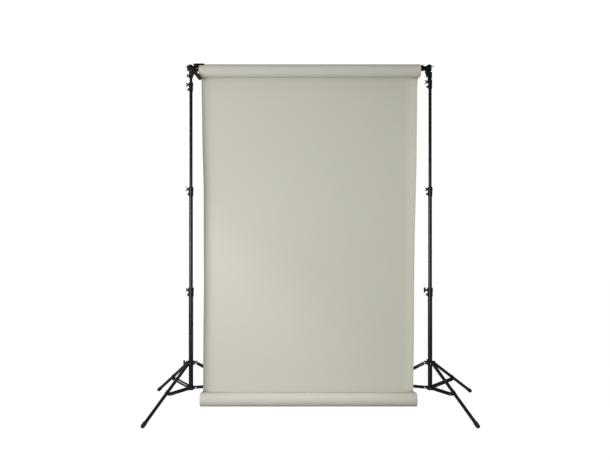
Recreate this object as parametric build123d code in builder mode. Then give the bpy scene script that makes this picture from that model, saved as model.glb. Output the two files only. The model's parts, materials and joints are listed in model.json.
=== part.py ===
from build123d import *
import os
from math import atan2, cos, degrees, hypot, radians, sin

# Backdrop paper roll on a crossbar between two telescopic tripod stands.
# Millimetres. Drawn from a point on the floor midway between the two columns,
# and written out from the centre of the footprint (see save).
# +X runs along the crossbar, +Z is up, the paper hangs on the -Y side, the front.
# Angles are about a column's axis, in degrees from +X towards +Y.

os.makedirs("parts", exist_ok=True)

# ---------------------------------------------------------------- shared sizes
LEFT_X, RIGHT_X = -745.0, 752.0   # column axes
PIN = 3.0                 # radius of hinge pins and knob screws
RUN_GAP = 0.05            # radial running clearance
FIT_GAP = 0.02            # radial gap between pieces that stay fixed
SCREW_GAP = 0.3           # knob to its boss, and screw tip to what it faces

# paper
PAPER_HALF = 680.0        # half of the 1.36 m paper width
ROLL_Y, ROLL_Z = -57.0, 2086.0    # roll axis, in front of the columns
ROLL_R = 40.0             # outside of the wound paper
CORE_IN, CORE_OUT = 30.0, 33.5    # cardboard core radii

# crossbar
BAR_R, BAR_BORE = 14.0, 12.02
BAR_LEFT, BAR_RIGHT = -751.0, 745.0
BAR_Z = ROLL_Z + CORE_IN - BAR_R - 0.3   # the core hangs on the bar

# telescopic column: tube radii, outside and bore
BASE_R, BASE_BORE = 14.0, 12.05
LOWER_R, LOWER_BORE = 12.0, 10.05
MIDDLE_R, MIDDLE_BORE = 10.0, 8.55
TOP_R, TOP_BORE, STUD_R = 8.5, 6.8, 7.94

# collars at the tube ends: bottom, top, outside radius
LOWER_COLLAR = (688.0, 744.0, 16.8)
MIDDLE_COLLAR = (1317.0, 1374.0, 14.8)
LEFT_UPPER_COLLAR = (1972.0, 2029.0, 12.8)
RIGHT_UPPER_COLLAR = (1989.0, 2046.0, 12.8)
COLLAR_LIP = 6.1          # top of the gripped tube, below the collar's top
COLLAR_BOSS = 4.0         # knob boss, beyond the collar's radius
COLLAR_KNOB_DROP = 15.0   # knob axis, below the collar's top
BOSS_SIDE = 180           # angle at which column knobs point, towards -X

# tube ends
BASE_Z0, BASE_Z1 = 107.5, LOWER_COLLAR[1] - COLLAR_LIP
LOWER_Z0, LOWER_Z1 = 648.0, MIDDLE_COLLAR[1] - COLLAR_LIP
MIDDLE_L = 733.9
TOP_Z0, SHOULDER_Z, STUD_Z = 1480.0, 2055.6, 2086.0
STUD_KNOB_Z = 2070.0

# tripod
PIN_R = 32.0              # hinge pins of legs and braces, from the column axis
SPIDER_Z = 272.6          # leg pins
SPIDER_KNOB_Z = SPIDER_Z + 2
SPIDER_BOSS_R = 25.0      # end of the screw boss, from the column axis
EAR_IN, EAR_T = 11.1, 3.0         # spider ears: inner face from mid-leg, thickness
HUB_Z = 118.9             # brace pins
FOOT_RAD = 508.6          # foot centres, from the column axis
FOOT_Z = 11.2             # foot centres, above the floor
FOOT_BALL = 12.6
LEG_R, LEG_BORE = 10.0, 8.5
JOIN = 0.49               # where the brace meets the leg, as a share of it
JOIN_DROP = 17.0          # brace pin below the leg's axis
STRAP_IN, STRAP_T, STRAP_W = 12.3, 2.0, 13.0
STRAP_OUT = STRAP_IN + STRAP_T
LUG_HALF = STRAP_IN - 0.3         # half width of what lies between the straps
RIVET_HEAD = 2.0          # thickness of rivet heads

LEFT_LEGS = {"front_leg": 249.2, "inner_leg": 7.3, "rear_leg": 125.5}
RIGHT_LEGS = {"front_leg": 290.4, "inner_leg": 168.9, "rear_leg": 47.7}

# leg line in the (radius, height) plane
LEG_L = hypot(FOOT_RAD - PIN_R, FOOT_Z - SPIDER_Z)
ALONG_R, ALONG_Z = (FOOT_RAD - PIN_R) / LEG_L, (FOOT_Z - SPIDER_Z) / LEG_L  # outward and down
ACROSS_R, ACROSS_Z = ALONG_Z, -ALONG_R                                    # inward and down


def leg_point(along, across=0.0):
    """Radius and height of a point along the leg from its pin, and across towards its underside."""
    return (
        PIN_R + along * ALONG_R + across * ACROSS_R,
        SPIDER_Z + along * ALONG_Z + across * ACROSS_Z,
    )


JOIN_ALONG = JOIN * LEG_L
JOIN_R, JOIN_Z = leg_point(JOIN_ALONG, JOIN_DROP)

# The exported frame has its origin on the floor under the centre of the whole
# rig's box, which the feet set.
foot_x = [
    column_x + FOOT_RAD * cos(radians(angle))
    for column_x, legs in ((LEFT_X, LEFT_LEGS), (RIGHT_X, RIGHT_LEGS))
    for angle in legs.values()
]
foot_y = [
    FOOT_RAD * sin(radians(angle))
    for legs in (LEFT_LEGS, RIGHT_LEGS)
    for angle in legs.values()
]
CENTRE_X = (min(foot_x) + max(foot_x)) / 2
CENTRE_Y = (min(foot_y) + max(foot_y)) / 2


def save(part, name):
    """Put a finished piece in the exported frame and write it."""
    placed = part.moved(Location((-CENTRE_X, -CENTRE_Y, 0)))
    placed.label = name
    export_step(placed, f"parts/{name}.step")


# ---------------------------------------------------------------- planes
def side_plane(column_x, angle, lateral=0.0):
    """Upright plane through a column axis: sketch x is radius, sketch y is height."""
    a = radians(angle)
    return Plane(
        origin=(column_x + lateral * sin(a), -lateral * cos(a), 0),
        x_dir=(cos(a), sin(a), 0),
        z_dir=(sin(a), -cos(a), 0),
    )


def out_plane(column_x, z, angle, radius=0.0):
    """Plane facing away from the column: sketch x is up."""
    a = radians(angle)
    return Plane(
        origin=(column_x + radius * cos(a), radius * sin(a), z),
        x_dir=(0, 0, 1),
        z_dir=(cos(a), sin(a), 0),
    )


def leg_plane(column_x, angle, along):
    """Plane across a leg at a distance along it from its hinge pin, facing the foot."""
    a = radians(angle)
    radius, z = leg_point(along)
    return Plane(
        origin=(column_x + radius * cos(a), radius * sin(a), z),
        x_dir=(sin(a), -cos(a), 0),
        z_dir=(ALONG_R * cos(a), ALONG_R * sin(a), ALONG_Z),
    )


# ---------------------------------------------------------------- column pieces
def tube(column_x, z0, z1, radius, bore):
    with BuildPart() as body:
        with BuildSketch(Plane.XY.offset(z0)):
            with Locations((column_x, 0)):
                Circle(radius)
                Circle(bore, mode=Mode.SUBTRACT)
        extrude(amount=z1 - z0)
    return body.part


def stud_tube(column_x):
    """Top riser: a tube with a solid 5/8 inch stud on its upper end."""
    plug = 25             # solid length below the shoulder
    groove_w, groove_depth = 10.0, 1.2
    with BuildPart() as body:
        with BuildSketch(Plane.XY.offset(TOP_Z0)):
            with Locations((column_x, 0)):
                Circle(TOP_R)
        extrude(amount=SHOULDER_Z - TOP_Z0)
        with BuildSketch(Plane.XY.offset(TOP_Z0)):
            with Locations((column_x, 0)):
                Circle(TOP_BORE)
        extrude(amount=SHOULDER_Z - TOP_Z0 - plug, mode=Mode.SUBTRACT)
        with BuildSketch(Plane.XY.offset(SHOULDER_Z)):
            with Locations((column_x, 0)):
                Circle(STUD_R)
        extrude(amount=STUD_Z - SHOULDER_Z)
        # necked groove level with the lock screw
        with BuildSketch(Plane.XY.offset(STUD_KNOB_Z - groove_w / 2)):
            with Locations((column_x, 0)):
                Circle(STUD_R + 1)
                Circle(STUD_R - groove_depth, mode=Mode.SUBTRACT)
        extrude(amount=groove_w, mode=Mode.SUBTRACT)
    return body.part


def collar(column_x, size, tube_r, riser_r):
    """Split clamp collar: it grips the lower tube's end and guides the riser."""
    z0, z1, radius = size
    knob_z, bolt_z = z1 - COLLAR_KNOB_DROP, z0 + 12.0
    boss_r = 7
    bolt_lug = radius + 6
    with BuildPart() as body:
        with BuildSketch(Plane.XY.offset(z0)):
            with Locations((column_x, 0)):
                Circle(radius)
        extrude(amount=z1 - z0)
        chamfer(body.edges().filter_by(GeomType.CIRCLE), length=1)
        # raised band round the gripping end
        with BuildSketch(Plane.XY.offset(z1 - 24)):
            with Locations((column_x, 0)):
                Circle(radius + 1)
        extrude(amount=18)
        # knob boss and fixed bolt lug, both on the same side, and the bolt's hexagon head
        with BuildSketch(out_plane(column_x, knob_z, BOSS_SIDE)):
            Circle(boss_r)
        extrude(amount=radius + COLLAR_BOSS)
        with BuildSketch(out_plane(column_x, bolt_z, BOSS_SIDE)):
            Circle(boss_r)
        extrude(amount=bolt_lug)
        with BuildSketch(out_plane(column_x, bolt_z, BOSS_SIDE, bolt_lug)):
            RegularPolygon(radius=6, side_count=6)
        extrude(amount=4)
        # bore for the lower tube, then the lip that guides the riser
        with BuildSketch(Plane.XY.offset(z0 - 1)):
            with Locations((column_x, 0)):
                Circle(tube_r + FIT_GAP)
        extrude(amount=z1 - COLLAR_LIP + 0.1 - z0 + 1, mode=Mode.SUBTRACT)
        with BuildSketch(Plane.XY.offset(z0 - 1)):
            with Locations((column_x, 0)):
                Circle(riser_r + RUN_GAP)
        extrude(amount=z1 - z0 + 2, mode=Mode.SUBTRACT)
        # clamping slit through the boss side into the bore, open at the top
        with BuildSketch(Plane.XY.offset(z1 - 30)):
            with Locations((column_x - 16, 0)):
                Rectangle(20, 1.2)
        extrude(amount=31, mode=Mode.SUBTRACT)
        # hole for the knob's screw
        with BuildSketch(out_plane(column_x, knob_z, BOSS_SIDE, tube_r)):
            Circle(PIN + RUN_GAP)
        extrude(amount=30, mode=Mode.SUBTRACT)
    return body.part


def wing_knob(column_x, z, angle, target_r, boss_end, reach, half_span, tee=False):
    """Hand knob on a screw. target_r: radius of what the screw bears on, boss_end: radius of
    the boss's end, reach: from the knob's inner face to the wing tips,
    tee: a straight crosspiece on a stem in place of wings."""
    a = radians(angle)
    # sketch x is up, sketch y is away from the column
    wing_plane = Plane(
        origin=(column_x, 0, z), x_dir=(0, 0, 1), z_dir=(-sin(a), cos(a), 0)
    )
    tip = target_r + SCREW_GAP
    face = boss_end + SCREW_GAP
    end = face + reach
    span = half_span
    if tee:
        outline = [
            (-4, face + 1), (-4, end - 11), (-span, end - 10), (-span, end),
            (span, end), (span, end - 10), (4, end - 11), (4, face + 1),
        ]
    else:
        outline = [
            (-4.5, face + 1), (-0.75 * span, face + 2), (-span, end - 3),
            (-span + 1.5, end), (-span + 5.5, end), (-4, face + 7),
            (4, face + 7), (span - 5.5, end), (span - 1.5, end),
            (span, end - 3), (0.75 * span, face + 2), (4.5, face + 1),
        ]
    with BuildPart() as body:
        with BuildSketch(out_plane(column_x, z, angle, tip)):
            Circle(PIN)
        extrude(amount=face - tip + 2)
        with BuildSketch(out_plane(column_x, z, angle, face)):
            Circle(6.5)
        extrude(amount=6)
        rims = body.edges().filter_by(GeomType.CIRCLE).sort_by(SortBy.RADIUS)[-2:]
        chamfer(rims, length=1)
        with BuildSketch(wing_plane) as wings:
            with BuildLine():
                Polyline(*outline, close=True)
            make_face()
            fillet(wings.vertices(), 0.8)
        extrude(amount=4.2, both=True)
    return body.part


# ---------------------------------------------------------------- tripod pieces
def hub(column_x, angles):
    """Fixed hub at the foot of the base tube: a cup with a lug for each brace, and its rivets."""
    lug_h = 15
    with BuildPart() as body:
        with BuildSketch(Plane.XY.offset(BASE_Z0 - 3.5)):
            with Locations((column_x, 0)):
                Circle(18)
        extrude(amount=25)
        chamfer(body.edges().filter_by(GeomType.CIRCLE), length=1.5)
        for angle in angles:
            with BuildSketch(side_plane(column_x, angle)):
                with Locations((PIN_R / 2, HUB_Z)):
                    Rectangle(PIN_R, lug_h)
                with Locations((PIN_R, HUB_Z)):
                    Circle(lug_h / 2)
            extrude(amount=LUG_HALF, both=True)
        # pin holes, then the socket for the base tube
        for angle in angles:
            with BuildSketch(side_plane(column_x, angle)):
                with Locations((PIN_R, HUB_Z)):
                    Circle(PIN + FIT_GAP)
            extrude(amount=20, both=True, mode=Mode.SUBTRACT)
        with BuildSketch(Plane.XY.offset(BASE_Z0 - 0.1)):
            with Locations((column_x, 0)):
                Circle(BASE_R + FIT_GAP)
        extrude(amount=60, mode=Mode.SUBTRACT)
        # rivet heads and pins
        for angle in angles:
            for side in (1, -1):
                with BuildSketch(side_plane(column_x, angle, side * (STRAP_OUT + 0.25))):
                    with Locations((PIN_R, HUB_Z)):
                        Circle(5)
                extrude(amount=side * RIVET_HEAD)
            with BuildSketch(side_plane(column_x, angle)):
                with Locations((PIN_R, HUB_Z)):
                    Circle(PIN)
            extrude(amount=STRAP_OUT + 1, both=True)
    return body.part


def spider(column_x, angles, knob_angle):
    """Sliding collar that carries the legs: a sleeve with a fork for each leg, and its rivets."""
    ear_h, ear_z = 18, SPIDER_Z + 1
    ear_start = 6         # inner end of the ears, from the column axis
    with BuildPart() as body:
        with BuildSketch(Plane.XY.offset(SPIDER_Z - 13)):
            with Locations((column_x, 0)):
                Circle(18.8)
        extrude(amount=27)
        chamfer(body.edges().filter_by(GeomType.CIRCLE), length=1.5)
        for angle in angles:
            for side in (1, -1):
                with BuildSketch(side_plane(column_x, angle, side * EAR_IN)):
                    with Locations(((PIN_R + ear_start) / 2, ear_z)):
                        Rectangle(PIN_R - ear_start, ear_h)
                    with Locations((PIN_R, ear_z)):
                        Circle(ear_h / 2)
                extrude(amount=side * EAR_T)
        # screw boss
        with BuildSketch(out_plane(column_x, SPIDER_KNOB_Z, knob_angle)):
            Circle(7.5)
        extrude(amount=SPIDER_BOSS_R)
        # pin holes, column bore and screw hole
        for angle in angles:
            with BuildSketch(side_plane(column_x, angle)):
                with Locations((PIN_R, SPIDER_Z)):
                    Circle(PIN + FIT_GAP)
            extrude(amount=20, both=True, mode=Mode.SUBTRACT)
        with BuildSketch(Plane.XY.offset(SPIDER_Z - 20)):
            with Locations((column_x, 0)):
                Circle(BASE_R + RUN_GAP)
        extrude(amount=60, mode=Mode.SUBTRACT)
        with BuildSketch(out_plane(column_x, SPIDER_KNOB_Z, knob_angle, 10)):
            Circle(PIN + RUN_GAP)
        extrude(amount=20, mode=Mode.SUBTRACT)
        # rivet heads and pins
        for angle in angles:
            for side in (1, -1):
                head = side * (EAR_IN + EAR_T + 0.05)
                with BuildSketch(side_plane(column_x, angle, head)):
                    with Locations((PIN_R, SPIDER_Z)):
                        Circle(5.5)
                extrude(amount=side * RIVET_HEAD)
            with BuildSketch(side_plane(column_x, angle)):
                with Locations((PIN_R, SPIDER_Z)):
                    Circle(PIN)
            extrude(amount=15, both=True)
    return body.part


LEG_TUBE_START, LEG_TUBE_END = 12, LEG_L - 8   # along the leg, from its pin


def leg_frame(column_x, angle):
    """Hinge plug, tube and brace clip of a leg."""
    clip_pin = 3.4
    lug = [
        leg_point(JOIN_ALONG - 8, 10.8), leg_point(JOIN_ALONG + 8, 10.8),
        leg_point(JOIN_ALONG + 5, JOIN_DROP), leg_point(JOIN_ALONG - 5, JOIN_DROP),
    ]
    with BuildPart() as body:
        # hinge plug with its eye, pressed into the tube
        with BuildSketch(leg_plane(column_x, angle, 0)):
            Circle(LEG_BORE - FIT_GAP)
        extrude(amount=42)
        with BuildSketch(side_plane(column_x, angle)):
            with Locations((PIN_R, SPIDER_Z)):
                Circle(9)
        extrude(amount=EAR_IN - 0.2, both=True)
        with BuildSketch(side_plane(column_x, angle)):
            with Locations((PIN_R, SPIDER_Z)):
                Circle(PIN + RUN_GAP)
        extrude(amount=12, both=True, mode=Mode.SUBTRACT)
        # tube
        with BuildSketch(leg_plane(column_x, angle, LEG_TUBE_START)):
            Circle(LEG_R)
            Circle(LEG_BORE, mode=Mode.SUBTRACT)
        extrude(amount=LEG_TUBE_END - LEG_TUBE_START)
        # brace clip: a band round the tube with a lug below it and the pin
        with BuildSketch(leg_plane(column_x, angle, JOIN_ALONG - 10)):
            Circle(11.7)
            Circle(LEG_R + FIT_GAP, mode=Mode.SUBTRACT)
        extrude(amount=20)
        with BuildSketch(side_plane(column_x, angle)):
            with BuildLine():
                Polyline(*lug, close=True)
            make_face()
            with Locations((JOIN_R, JOIN_Z)):
                Circle(5)
                Circle(clip_pin, mode=Mode.SUBTRACT)
        extrude(amount=7, both=True)
        with BuildSketch(side_plane(column_x, angle)):
            with Locations((JOIN_R, JOIN_Z)):
                Circle(clip_pin)
        extrude(amount=LUG_HALF, both=True)
    return body.part


def leg_foot(column_x, angle):
    """Rubber foot, flat where it stands."""
    sleeve = 27
    bore_start = LEG_L - 40
    a = radians(angle)
    with BuildPart() as foot:
        with BuildSketch(leg_plane(column_x, angle, LEG_L - sleeve)):
            Circle(11.6)
        extrude(amount=sleeve)
        with Locations((column_x + FOOT_RAD * cos(a), FOOT_RAD * sin(a), FOOT_Z)):
            Sphere(FOOT_BALL)
        with BuildSketch(leg_plane(column_x, angle, bore_start)):
            Circle(LEG_R + FIT_GAP)
        extrude(amount=LEG_TUBE_END + 0.05 - bore_start, mode=Mode.SUBTRACT)
        split(bisect_by=Plane.XY, keep=Keep.TOP)
    return foot.part


def leg(column_x, angle):
    """Leg with its foot, as separate solids."""
    frame, foot = leg_frame(column_x, angle), leg_foot(column_x, angle)
    return Part(children=[*frame.solids(), *foot.solids()])


def brace(column_x, angle):
    """Brace: two flat straps side by side, with a rivet head at the leg end of each."""
    run, rise = JOIN_R - PIN_R, JOIN_Z - HUB_Z
    middle = ((PIN_R + JOIN_R) / 2, (HUB_Z + JOIN_Z) / 2)
    tilt = degrees(atan2(rise, run))
    with BuildPart() as body:
        for side in (1, -1):
            with BuildSketch(side_plane(column_x, angle, side * STRAP_IN)):
                with Locations(middle):
                    SlotCenterToCenter(hypot(run, rise), STRAP_W, rotation=tilt)
                with Locations((PIN_R, HUB_Z)):
                    Circle(PIN + RUN_GAP, mode=Mode.SUBTRACT)
            extrude(amount=side * STRAP_T)
            with BuildSketch(side_plane(column_x, angle, side * STRAP_OUT)):
                with Locations((JOIN_R, JOIN_Z)):
                    Circle(5)
            extrude(amount=side * RIVET_HEAD)
    return body.part


# ---------------------------------------------------------------- clamp heads
JAW_W = 15.0              # half width of the clamp body along the bar
JAW_WALL = 12.0           # behind the bar
JAW_FRONT, MOUTH_FRONT = -100.0, -90.0    # y of the front face, and of the mouth inside it
PAD_Y, PAD_T = -72.5, 13  # moving jaw: mid-plane and thickness
CLAMP_SCREW_R = 4
STUD_BOSS_R = 16.5        # end of the stud knob's boss, from the column axis
LEVER_L = 104.0


def clamp_body(column_x, jaw_x):
    """Clamp head: stud socket behind, open-topped jaw for the bar in front, set inboard of it."""
    bar_hole = BAR_R + RUN_GAP
    back, front = ROLL_Y + bar_hole + JAW_WALL, JAW_FRONT
    floor, top = BAR_Z - 30.0, BAR_Z + 13.0
    left, right = jaw_x - JAW_W, jaw_x + JAW_W
    with BuildPart() as body:
        # jaw, rounded at its corners, drawn from the side
        with BuildSketch(Plane.YZ.offset(left)) as profile:
            with BuildLine():
                Polyline(
                    (back, floor), (back, top), (front, top), (front, floor), close=True
                )
            make_face()
            fillet(profile.vertices(), 5)
        extrude(amount=2 * JAW_W)
        # and with its corners taken off, drawn from the front
        with BuildSketch(Plane.XZ.offset(-back - 5)):
            with BuildLine():
                Polyline(
                    (left, floor + 8), (left, top - 7), (left + 6, top),
                    (right - 6, top), (right, top - 7), (right, floor + 8),
                    (right - 7, floor), (left + 7, floor), close=True,
                )
            make_face()
        extrude(amount=back - front + 10, mode=Mode.INTERSECT)
        # bar seat, open above and in front as far as the front wall
        with BuildSketch(Plane.YZ.offset(left - 1)):
            with Locations((ROLL_Y, BAR_Z)):
                Circle(bar_hole)
            with Locations(((ROLL_Y + bar_hole + MOUTH_FRONT) / 2, BAR_Z + 20)):
                Rectangle(ROLL_Y + bar_hole - MOUTH_FRONT, 40)
            with Locations(((ROLL_Y + MOUTH_FRONT) / 2, BAR_Z + 5)):
                Rectangle(ROLL_Y - MOUTH_FRONT, 2 * bar_hole + 10)
        extrude(amount=2 * JAW_W + 2, mode=Mode.SUBTRACT)
        # socket and the neck that joins it to the jaw
        with BuildSketch(Plane.XY.offset(SHOULDER_Z + 0.4)):
            with Locations((column_x, 0)):
                Circle(13)
        extrude(amount=36)
        with BuildSketch(Plane.XY.offset(SHOULDER_Z + 8)):
            with BuildLine():
                Polyline(
                    (column_x - 10, 0), (column_x + 10, 0),
                    (jaw_x + 11, back - 3), (jaw_x - 11, back - 3), close=True,
                )
            make_face()
        extrude(amount=26)
        # stud knob's boss, stud bore and screw hole
        with BuildSketch(out_plane(column_x, STUD_KNOB_Z, BOSS_SIDE)):
            Circle(7)
        extrude(amount=STUD_BOSS_R)
        with BuildSketch(Plane.XY.offset(SHOULDER_Z - 10)):
            with Locations((column_x, 0)):
                Circle(STUD_R + RUN_GAP)
        extrude(amount=STUD_Z + 0.5 - SHOULDER_Z + 10, mode=Mode.SUBTRACT)
        with BuildSketch(out_plane(column_x, STUD_KNOB_Z, BOSS_SIDE, STUD_R)):
            Circle(PIN + RUN_GAP)
        extrude(amount=20, mode=Mode.SUBTRACT)
        # hole for the clamp screw, through the front wall
        with BuildSketch(Plane.XZ.offset(-MOUTH_FRONT - 1)):
            with Locations((jaw_x, BAR_Z)):
                Circle(CLAMP_SCREW_R + RUN_GAP)
        extrude(amount=MOUTH_FRONT - JAW_FRONT + 2, mode=Mode.SUBTRACT)
    return body.part


def clamp_jaw(jaw_x):
    """Moving jaw: a saddle that the screw pushes against the bar."""
    with BuildPart() as body:
        with BuildSketch(Plane.YZ.offset(jaw_x - JAW_W + 2)):
            with Locations((PAD_Y, BAR_Z)):
                Rectangle(PAD_T, 23)
            with Locations((ROLL_Y, BAR_Z)):
                Circle(BAR_R + RUN_GAP, mode=Mode.SUBTRACT)
        extrude(amount=2 * JAW_W - 4)
    return body.part


def clamp_lever(jaw_x, angle):
    """Clamp screw with its lever and grip; angle is the lever's, from +X towards +Z."""
    boss = 1 - JAW_FRONT  # back of the lever's boss, in front of the column plane
    # sketch x runs out along the lever
    grip_plane = Plane(
        origin=(jaw_x, 0, BAR_Z),
        x_dir=(cos(radians(angle)), 0, sin(radians(angle))),
        z_dir=(0, -1, 0),
    )
    with BuildPart() as body:
        with BuildSketch(Plane.XZ.offset(PAD_T / 2 - PAD_Y + 0.05)):
            with Locations((jaw_x, BAR_Z)):
                Circle(CLAMP_SCREW_R)
        extrude(amount=24)
        with BuildSketch(Plane.XZ.offset(boss)):
            with Locations((jaw_x, BAR_Z)):
                Circle(10)
        extrude(amount=12)
        chamfer(body.edges().filter_by(GeomType.CIRCLE).sort_by(Axis.Y)[0], length=2)
        with BuildSketch(grip_plane.offset(boss + 2)) as arm:
            with BuildLine():
                Polyline(
                    (0, -7), (36, -8), (50, -11.5), (LEVER_L, -11),
                    (LEVER_L, 11), (50, 11.5), (36, 8), (0, 7), close=True,
                )
            make_face()
            fillet(arm.vertices().sort_by(Axis.X)[-2:], 7)
        extrude(amount=8)
    return body.part


# ---------------------------------------------------------------- both stands
def save_stand(side, column_x, legs, upper_collar, lower_knob, spider_knob,
               spider_knob_angle, jaw_x, lever_angle):
    """Write one stand. A knob is given as (reach, half span, tee), as in wing_knob."""
    middle_top = upper_collar[1] - COLLAR_LIP
    base = (BASE_Z0, BASE_Z1, BASE_R, BASE_BORE)
    lower = (LOWER_Z0, LOWER_Z1, LOWER_R, LOWER_BORE)
    middle = (middle_top - MIDDLE_L, middle_top, MIDDLE_R, MIDDLE_BORE)
    save(tube(column_x, *base), f"{side}_base_tube")
    save(tube(column_x, *lower), f"{side}_lower_riser")
    save(tube(column_x, *middle), f"{side}_middle_riser")
    save(stud_tube(column_x), f"{side}_top_riser")
    for name, size, tube_r, riser_r, knob in (
        ("lower", LOWER_COLLAR, BASE_R, LOWER_R, lower_knob),
        ("middle", MIDDLE_COLLAR, LOWER_R, MIDDLE_R, (13, 12, False)),
        ("upper", upper_collar, MIDDLE_R, TOP_R, (15, 11, False)),
    ):
        save(collar(column_x, size, tube_r, riser_r), f"{side}_{name}_collar")
        knob_z, boss_end = size[1] - COLLAR_KNOB_DROP, size[2] + COLLAR_BOSS
        save(
            wing_knob(column_x, knob_z, BOSS_SIDE, tube_r, boss_end, *knob),
            f"{side}_{name}_knob",
        )
    save(
        wing_knob(column_x, SPIDER_KNOB_Z, spider_knob_angle, BASE_R, SPIDER_BOSS_R, *spider_knob),
        f"{side}_spider_knob",
    )
    save(
        wing_knob(column_x, STUD_KNOB_Z, BOSS_SIDE, STUD_R, STUD_BOSS_R, 10, 10),
        f"{side}_clamp_stud_knob",
    )
    save(hub(column_x, legs.values()), f"{side}_base_hub")
    save(spider(column_x, legs.values(), spider_knob_angle), f"{side}_leg_spider")
    for name, angle in legs.items():
        save(leg(column_x, angle), f"{side}_{name}")
        save(brace(column_x, angle), f"{side}_{name.replace('leg', 'brace')}")
    save(clamp_body(column_x, jaw_x), f"{side}_clamp_body")
    save(clamp_jaw(jaw_x), f"{side}_clamp_jaw")
    save(clamp_lever(jaw_x, lever_angle), f"{side}_clamp_lever")


save_stand(
    "left", LEFT_X, LEFT_LEGS, LEFT_UPPER_COLLAR,
    lower_knob=(12, 12, False), spider_knob=(22, 15, True), spider_knob_angle=184.0,
    jaw_x=-731.0, lever_angle=-51.0,
)
save_stand(
    "right", RIGHT_X, RIGHT_LEGS, RIGHT_UPPER_COLLAR,
    lower_knob=(18, 16, True), spider_knob=(15, 15, False), spider_knob_angle=108.9,
    jaw_x=729.0, lever_angle=-90.0,
)

# ---------------------------------------------------------------- crossbar
SPIGOT, SPIGOT_BORE = 60.0, 10    # length each way from the joint at x = 0, inside radius
BUTTON_X = -SPIGOT / 2
BUTTON_HOLE = 4.0


def crossbar_left():
    """Left half of the bar, with the button hole in its underside."""
    with BuildPart() as body:
        with BuildSketch(Plane.YZ.offset(BAR_LEFT)):
            with Locations((ROLL_Y, BAR_Z)):
                Circle(BAR_R)
                Circle(BAR_BORE, mode=Mode.SUBTRACT)
        extrude(amount=-BAR_LEFT - 0.1)
        with BuildSketch(Plane.XY.offset(BAR_Z - 20)):
            with Locations((BUTTON_X, ROLL_Y)):
                Circle(BUTTON_HOLE)
        extrude(amount=20, mode=Mode.SUBTRACT)
    return body.part


def crossbar_right():
    """Right half of the bar, with the spigot that slides into the left half."""
    with BuildPart() as body:
        with BuildSketch(Plane.YZ):
            with Locations((ROLL_Y, BAR_Z)):
                Circle(BAR_R)
                Circle(BAR_BORE, mode=Mode.SUBTRACT)
        extrude(amount=BAR_RIGHT)
        with BuildSketch(Plane.YZ.offset(-SPIGOT)):
            with Locations((ROLL_Y, BAR_Z)):
                Circle(BAR_BORE - RUN_GAP)
                Circle(SPIGOT_BORE, mode=Mode.SUBTRACT)
        extrude(amount=SPIGOT)
        # root of the spigot, overlapping the bar's wall so that they join
        with BuildSketch(Plane.YZ):
            with Locations((ROLL_Y, BAR_Z)):
                Circle(BAR_BORE + 0.5)
                Circle(SPIGOT_BORE, mode=Mode.SUBTRACT)
        extrude(amount=SPIGOT)
        with BuildSketch(Plane.XY.offset(BAR_Z - 20)):
            with Locations((BUTTON_X, ROLL_Y)):
                Circle(BUTTON_HOLE)
        extrude(amount=20, mode=Mode.SUBTRACT)
    return body.part


def crossbar_snap_button():
    """Round-nosed button pointing down, with a flange inside the spigot."""
    with BuildPart() as body:
        with BuildSketch(Plane.XY.offset(BAR_Z - 16)):
            with Locations((BUTTON_X, ROLL_Y)):
                Circle(BUTTON_HOLE - RUN_GAP)
        extrude(amount=9)
        fillet(body.edges().sort_by(Axis.Z)[0], 2.5)
        with BuildSketch(Plane.XY.offset(BAR_Z - 7.3)):
            with Locations((BUTTON_X, ROLL_Y)):
                Circle(5.5)
        extrude(amount=2.3)
    return body.part


def crossbar_end_caps():
    """Both end caps: a disc, a plug in the bore and a small hook outside."""
    hook_r = 2.2
    with BuildPart() as body:
        # outward sign, bar end, disc thickness, reach of the hook
        for sign, end, thick, hook in ((-1, BAR_LEFT, 6.0, 16.0), (1, BAR_RIGHT, 4.0, 19.0)):
            with BuildSketch(Plane.YZ.offset(end + sign * 0.05)):
                with Locations((ROLL_Y, BAR_Z)):
                    Circle(16)
            extrude(amount=sign * thick)
            with BuildSketch(Plane.YZ.offset(end + sign * 0.05)):
                with Locations((ROLL_Y, BAR_Z)):
                    Circle(BAR_BORE - FIT_GAP)
            extrude(amount=-sign * 20)
            # hook: a level rod, then a short upright one across its end
            with BuildSketch(Plane.YZ.offset(end + sign * 3)):
                with Locations((ROLL_Y, BAR_Z + 12)):
                    Circle(hook_r)
            extrude(amount=sign * (hook - 3))
            with BuildSketch(Plane.XY.offset(BAR_Z + 7)):
                with Locations((end + sign * (hook - hook_r), ROLL_Y)):
                    Circle(hook_r)
            extrude(amount=7.2)
    return body.part


# ---------------------------------------------------------------- stops on the crossbar
BRAKE_X = -737.0          # origin of the brake's sketches along the bar
BRAKE_ANGLE = radians(50.0)       # the lever bears on the roll this far above level, in front
HINGE_X, HINGE_OUT = 38, 36.5     # lever hinge, in the brake plane
HINGE_PIN = 1.5
BRAKE_EAR_IN, BRAKE_EAR_T = 4.2, 3
STOP_X = 693.0
STOP_SCREW_R = 2.5


def brake_plane(tangent=0.0):
    """Plane through the roll axis and the brake lever, moved sideways by tangent:
    sketch x is along the bar, sketch y is outward from the roll axis."""
    out_y, out_z = -cos(BRAKE_ANGLE), sin(BRAKE_ANGLE)
    return Plane(
        origin=(BRAKE_X, ROLL_Y - tangent * out_z, ROLL_Z + tangent * out_y),
        x_dir=(1, 0, 0),
        z_dir=(0, -out_z, out_y),
    )


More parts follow.
